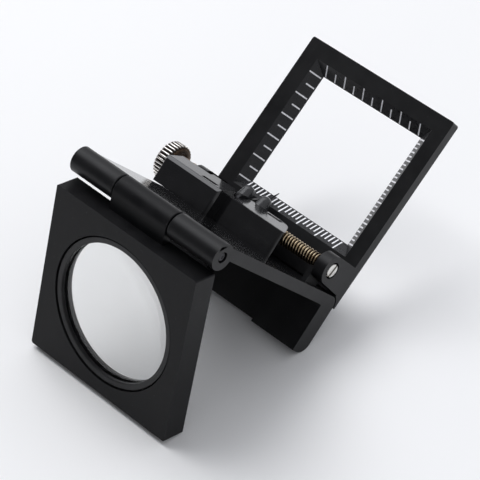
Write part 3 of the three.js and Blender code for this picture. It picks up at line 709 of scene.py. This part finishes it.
SCREW_R = 1.5
PITCH = 0.7
THREAD_DEPTH = 0.36
THREAD_START = -16.2
RINGS_PER_TURN = 10
screw_x0, screw_x1 = span_x("lead_screw")


def slotted(head, slot_x0, slot_x1, half_width, tilt):
    """A screw head on the screw's axis with a straight slot across it, tilted by some degrees."""
    slot = block(slot_x0, -4, -half_width, slot_x1, 4, half_width)
    turn = Matrix.Rotation(math.radians(tilt), 4, "X")
    slot.transform(Matrix.Translation((0, *SCREW_IN_BASE)) @ turn)
    return carve(head, [slot])


def thread_ridge(x, radius, turn):
    """One helical ridge, which runs out over the first and last turn."""
    run_out = min(1.0, (x - THREAD_START) / PITCH, (screw_x1 - x) / PITCH)
    phase = ((x - THREAD_START) / PITCH - turn) % 1.0
    ridge = max(0.0, min(1.0, 1.35 * (1 - abs(2 * phase - 1)) - 0.1))
    return x, radius - THREAD_DEPTH * (1 - ridge * run_out)


steps = round((screw_x1 - THREAD_START) / PITCH * RINGS_PER_TURN)
thread_xs = [THREAD_START + (screw_x1 - THREAD_START) * i / steps for i in range(steps + 1)]
thread = turned(
    [(THREAD_START, 0), *((x, SCREW_R) for x in thread_xs), (screw_x1, 0)],
    *SCREW_IN_BASE, segments=40, shift=thread_ridge,
)
paint_valleys(thread, *SCREW_IN_BASE, SCREW_R, THREAD_DEPTH)
place(thread, "screw_thread", BASE, THREAD_BRASS, "screw", ["lead_screw"], smooth=50.0)

shank_end = THREAD_START - 0.02
shank = turned(
    [(screw_x0, 0), (screw_x0, 1.0), (screw_x0 + 0.2, 1.2), (shank_end, 1.2), (shank_end, 0)],
    *SCREW_IN_BASE, segments=48,
)
place(shank, "screw_shank", BASE, BRASS, "screw", ["lead_screw"])

_, end_x = span_x("end_screw")
end_profile = [
    (end_x - 1.3, 0), (end_x - 1.3, 1.45), (end_x - 0.25, 1.48), (end_x - 0.07, 1.38),
    (end_x - 0.01, 1.15), (end_x, 0),
]
end_head = turned(end_profile, *SCREW_IN_BASE)
end_head = slotted(end_head, end_x - 0.6, end_x + 1, half_width=0.29, tilt=-8)
round_edges(end_head, 0.04, 2, 40.0)
place(end_head, "end_screw_head", BASE, NICKEL, "screw", ["end_screw"])

KNOB_R = 4.3
KNOB_FACE_R = 3.85
KNOB_FLUTES = 32
FLUTE_DEPTH = 0.36
knob_x0, knob_x1 = span_x("thumb_knob")
knob_profile = [
    (knob_x0 + 1.0, 1.5), (knob_x0 + 1.0, 2.25), (knob_x0 + 0.15, 2.3), (knob_x0, 2.45),
    (knob_x0, 3.3), (knob_x0 + 0.08, 3.75), (knob_x0 + 0.3, 4.1), (knob_x0 + 0.55, KNOB_R),
    (knob_x1 - 0.55, KNOB_R), (knob_x1 - 0.3, 4.1), (knob_x1 - 0.08, 3.75), (knob_x1, 3.3),
    (knob_x1, 2.9), (knob_x1 - 0.35, 2.7), (knob_x1 - 0.35, 1.5),
]


def knob_flutes(x, radius, turn):
    """Straight flutes that fade out over the knob's rounded rims."""
    valley = max(0.0, min(1.0, 0.5 - 1.15 * math.cos(TAU * turn * KNOB_FLUTES)))
    share = max(0.0, min(1.0, (radius - 3.6) / 0.4))
    return x, radius - FLUTE_DEPTH * share * valley


def is_knob_back(face, middle):
    """True for the knob's face on the collar's side, which is painted dark brown as shade."""
    y, z = SCREW_IN_BASE
    return middle.x > knob_x1 - 0.4 and math.hypot(middle.y - y, middle.z - z) < KNOB_FACE_R


knob = turned(
    knob_profile, *SCREW_IN_BASE, segments=KNOB_FLUTES * 10, closed=True, shift=knob_flutes
)
paint_valleys(knob, *SCREW_IN_BASE, KNOB_R, FLUTE_DEPTH)
paint_faces(knob, is_knob_back)
place(
    knob, "knob", BASE, KNURL_NICKEL, "screw", ["thumb_knob"], second=KNOB_BACK_SHADE
)

knob_screw_profile = [
    (0.12, 0), (0.12, 1.5), (0.2, 1.78), (0.4, 1.9), (0.8, 1.9), (0.8, 0.6), (5.8, 0.6), (5.9, 0.5),
    (5.9, 0),
]
knob_screw = turned([(knob_x0 + x, r) for x, r in knob_screw_profile], *SCREW_IN_BASE, segments=48)
knob_screw = slotted(knob_screw, knob_x0 - 1, knob_x0 + 0.42, half_width=0.22, tilt=-35)
place(knob_screw, "knob_retaining_screw", BASE, STEEL, "screw", ["knob_screw"])

collar_x0, collar_x1 = span_x("knob_collar")
collar_profile = [
    (collar_x0, 1.5), (collar_x0, 2.2), (collar_x0 + 0.2, 2.4), (collar_x0 + 1.2, 2.4),
    (collar_x0 + 1.35, 2.2), (collar_x1 - 1.1, 2.2), (collar_x1 - 0.95, 2.4), (collar_x1 - 0.2, 2.4),
    (collar_x1, 2.2), (collar_x1, 1.5),
]
collar = turned(collar_profile, *SCREW_IN_BASE, segments=56, closed=True)
place(collar, "collar", BASE, COLLAR_BRASS, "screw", ["knob_collar"])

WASHER_THICKNESS = 0.16
washer_profile = [(0, 1.5), (0, 2.6), (WASHER_THICKNESS, 2.6), (WASHER_THICKNESS, 1.5)]
washer_x0, washer_x1 = span_x("wave_washer")


def washer_wave(x, radius, turn):
    """Three waves that fill the space between the collar and the ear."""
    swing = (washer_x1 - washer_x0 - WASHER_THICKNESS) / 2
    return washer_x0 + x + swing * (1 + math.cos(3 * TAU * turn)), radius


washer = turned(washer_profile, *SCREW_IN_BASE, segments=72, closed=True, shift=washer_wave)
place(washer, "spring_washer", BASE, SPRING_STEEL, "base", ["wave_washer"])

# ---------- pointer ----------

pointer = cad_copy("pointer", BASE)
round_edges(pointer, 0.05, 2)
place(pointer, "pointer_needle", BASE, DARK_STEEL, "pointer", ["pointer"])

# ---------- carriage ----------

# Shallow grooves in the roofs: x0, x1, z0, z1 and the floor's height.
GROOVES = [(-13.4, -9.3, 14.5, 15.6, 5.3), (-0.8, 3.2, 6.65, 8.1, 5.9)]
GROOVE_FACE_AREA = 6.5              # more than any face of a groove has


def rest_on_arm(bm):
    """Lets the underside down to a hair above the arm's face."""
    for vert in bm.verts:
        if vert.co.y < ARM_FACE_Y + 0.3:
            vert.co.y = ARM_FACE_Y + 0.03


def in_groove(point, margin=0.02):
    """True on a roof groove's walls, floor and edges."""
    return any(
        x0 - margin < point.x < x1 + margin and z0 - margin < point.z < z1 + margin
        and point.y > floor - margin
        for x0, x1, z0, z1, floor in GROOVES
    )


def is_outer(edge):
    """True for the edges that show outside: not under the housing and not in a groove."""
    middle = edge_middle(edge)
    return middle.y > ARM_FACE_Y + 0.1 and not in_groove(middle)


housing = cad_copy("carriage_housing", ARM)
rest_on_arm(housing)
housing = carve(housing, [block(x0, y, z0, x1, 12.0, z1) for x0, x1, z0, z1, y in GROOVES])
round_edges(housing, 0.28, 3, wanted=is_outer)
paint_faces(housing, lambda face, middle: in_groove(middle) and face.calc_area() < GROOVE_FACE_AREA)
place(
    housing, "carriage_shell", ARM, GLOSS_BLACK, "carriage", ["carriage_housing"],
    second=SATIN_BLACK,
)

cover = cad_copy("carriage_cover", ARM)
rest_on_arm(cover)
round_edges(cover, 0.14, 3)
place(cover, "carriage_lid", ARM, GLOSS_BLACK, "carriage", ["carriage_cover"])

nut = cad_copy("half_nut", ARM)
round_edges(nut, 0.1, 2)
place(nut, "nut_half", ARM, BRASS, "carriage", ["half_nut"])

# ---------- lamps ----------

LAMPS = {"left": -9.15, "right": -4.5}      # x of each
LAMP_R = 1.5
LAMP_TILT = math.radians(24)
LAMP_OFFSET = 2.32                  # from the screw's axis to a lamp's
DOME_X = 4.6                        # where a lamp's round end starts
DOME_STEPS = 14


def lamp_frame(x):
    """Frame with +X along a lamp's axis, from the point nearest the screw's axis."""
    tilt = Matrix.Rotation(-LAMP_TILT, 4, "X")
    aside = Matrix.Translation((0, 0, -LAMP_OFFSET))
    x_to_y = Matrix.Rotation(TAU / 4, 4, "Z")
    return ARM @ Matrix.Translation((x, *SCREW_IN_ARM)) @ tilt @ aside @ x_to_y


skin = [(2.25, 0), (2.25, 1.3), (2.35, LAMP_R)]
for k in range(DOME_STEPS):
    angle = TAU / 4 * k / DOME_STEPS
    skin.append((DOME_X + LAMP_R * math.sin(angle), LAMP_R * math.cos(angle)))
skin.append((DOME_X + LAMP_R, 0))
cup_profile = [(2.6, 0), (2.6, 0.3), (3.0, 0.42), (3.75, 0.62), (3.72, 0.5), (3.45, 0.25), (3.42, 0)]

for label, x in LAMPS.items():
    where = lamp_frame(x)
    lamp = turned(skin, segments=56)
    place(lamp, f"lamp_{label}_lens", where, LAMP_EPOXY, "carriage", [f"lamp_{label}"])
    cup = turned(cup_profile, segments=40)
    place(cup, f"lamp_{label}_cup", where, LAMP_METAL, "carriage")
    anvil = block(2.6, -0.25, 0.62, 3.95, 0.25, 0.98)
    round_edges(anvil, 0.05, 2)
    place(anvil, f"lamp_{label}_anvil", where, LAMP_METAL, "carriage")

# ---------- supply and switch inside the wing ----------

CELL_AXIS = (3.1, 13.35)            # y, z
CELL_R = 2.4

for number in (1, 2, 3):
    x0, x1 = span_x(f"button_cell_{number}")
    can_profile = [
        (x0, 0), (x0, 2.1), (x0 + 0.25, CELL_R), (x1 - 0.4, CELL_R), (x1 - 0.25, 2.25),
        (x1 - 0.25, 1.95), (x1 - 0.05, 1.85), (x1, 1.7), (x1, 0),
    ]
    can = turned(can_profile, *CELL_AXIS, segments=48)
    place(can, f"cell_{number}", ARM, CELL_STEEL, "carriage", [f"button_cell_{number}"])

for node, name, material, slot_name in (
    ("battery_contact_spring", "contact_leaf", SPRING_STEEL, "spring_steel"),
    ("battery_contact_plate", "contact_plate", CONTACT_BRASS, "contact_brass"),
    ("lamp_board", "circuit_board", BOARD_GREEN, "board_green"),
    ("switch_body", "switch_case", SATIN_BLACK, "satin_black"),
):
    small = cad_copy(node, ARM)
    round_edges(small, 0.03, 1)
    place(small, name, ARM, material, "carriage", [node])

RIB_PITCH = 0.28
slider = cad_copy("switch_slider", ARM)
round_edges(slider, 0.1, 2)
rib_zs = [RIB_PITCH * k for k in range(4)]
slider = carve(slider, [block(-22.6, 2.0, 13.1 + z, -22.33, 4.0, 13.2 + z) for z in rib_zs])
place(slider, "switch_button", ARM, SATIN_BLACK, "switch", ["switch_slider"])

# ---------- floor, light and camera (metres) ----------

FLOOR_REACH = 1.5
TENT_COLOR = (0.95, 0.965, 1.0, 1)
# Each is a patch's direction, then its shares from and to, then the strengths there.
TENT_PATCHES = [
    ((-0.62, -0.72, 0.3), (0.0, 0.9, 0.66, 0.16)),
    ((-0.5, 0.38, 0.78), (0.7, 0.98, 0.0, 1.1)),
    ((-0.5, 0.08, 0.86), (0.88, 0.985, 0.0, 1.6)),
    ((-0.45, 0.72, 0.5), (0.86, 0.98, 0.0, -0.45)),
]


def make_floor():
    mesh = bpy.data.meshes.new("floor")
    reach = FLOOR_REACH
    corners = [(-reach, -reach, 0), (reach, -reach, 0), (reach, reach, 0), (-reach, reach, 0)]
    mesh.from_pydata(corners, [], [(0, 1, 2, 3)])
    mesh.materials.append(floor_white())
    obj = bpy.data.objects.new("floor", mesh)
    bpy.context.scene.collection.objects.link(obj)


def area_light(name, location, target, size, power, color):
    """A soft square lamp whose own outline isn't mirrored in the glossy faces."""
    light = bpy.data.lights.new(name, "AREA")
    light.shape = "SQUARE"
    light.size = size
    light.energy = power
    light.color = color
    obj = bpy.data.objects.new(name, light)
    obj.location = location
    direction = Vector(target) - Vector(location)
    obj.rotation_euler = direction.to_track_quat("-Z", "Y").to_euler()
    obj.visible_glossy = False
    bpy.context.scene.collection.objects.link(obj)


def studio_world():
    """A pale tent, dim on its open side and brightest in soft patches behind and overhead."""
    world = bpy.data.worlds.new("studio")
    world.use_nodes = True
    tree = world.node_tree
    background = tree.nodes["Background"]
    direction = tree.nodes.new("ShaderNodeTexCoord").outputs["Generated"]

    def patch(toward, numbers):
        """Strength that changes smoothly with the direction's share towards a point."""
        share = tree.nodes.new("ShaderNodeVectorMath")
        share.operation = "DOT_PRODUCT"
        share.inputs[1].default_value = Vector(toward).normalized()
        tree.links.new(direction, share.inputs[0])
        ramp = tree.nodes.new("ShaderNodeMapRange")
        ramp.interpolation_type = "SMOOTHSTEP"
        for index, number in enumerate(numbers):
            ramp.inputs[index + 1].default_value = number
        tree.links.new(share.outputs["Value"], ramp.inputs[0])
        return ramp.outputs[0]

    strength, *others = [patch(toward, numbers) for toward, numbers in TENT_PATCHES]
    for other in others:
        total = tree.nodes.new("ShaderNodeMath")
        total.operation = "ADD"
        tree.links.new(strength, total.inputs[0])
        tree.links.new(other, total.inputs[1])
        strength = total.outputs[0]
    tree.links.new(strength, background.inputs["Strength"])
    background.inputs["Color"].default_value = TENT_COLOR
    return world


make_floor()
area_light("key", (-0.28, 0.05, 0.55), (0, 0, 0.01), 0.34, 1.15, (1.0, 0.99, 0.97))
bpy.context.scene.world = studio_world()
bpy.context.scene.view_settings.view_transform = "Standard"

camera = bpy.data.cameras.new("camera")
camera.lens = 197.74
camera.sensor_width = 36.0
camera.clip_end = 10.0
camera_object = bpy.data.objects.new("camera", camera)
camera_object.location = (0.270495, -0.280944, 0.364088)
camera_angles = (47.9818, -1.4671, 44.9386)
camera_object.rotation_euler = Euler([math.radians(a) for a in camera_angles], "XYZ")
bpy.context.scene.collection.objects.link(camera_object)
bpy.context.scene.camera = camera_object
